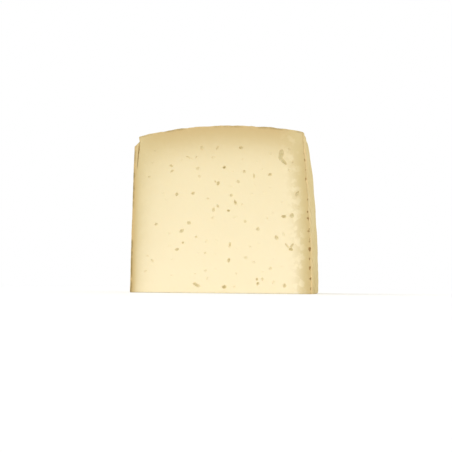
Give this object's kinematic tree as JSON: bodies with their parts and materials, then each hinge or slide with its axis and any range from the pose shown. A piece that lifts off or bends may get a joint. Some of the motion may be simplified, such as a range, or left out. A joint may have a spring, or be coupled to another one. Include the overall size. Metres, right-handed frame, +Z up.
{
  "type": "cheese wedge",
  "caption": "Wedge of semi-cured sheep cheese standing on one cut face, with small eyes in the pale paste, a plaited rim and ribbed flat faces.",
  "frame": {"origin": "centre of the bounding box, at the bottom, on the plane of the cut face that the wedge stands on", "axes": "+X along the axis of the wheel that the wedge is cut from, +Y from the upright cut face at the front to the rim at the back, +Z up"},
  "size_m": [0.104, 0.0952, 0.0952],
  "materials": {
    "cheese": "pale ivory paste with a soft satin sheen, straw-coloured towards the rind, which is dull ochre and beige"
  },
  "bodies": {
    "root": {"cheese_wedge": "cheese"}
  },
  "joints": []
}
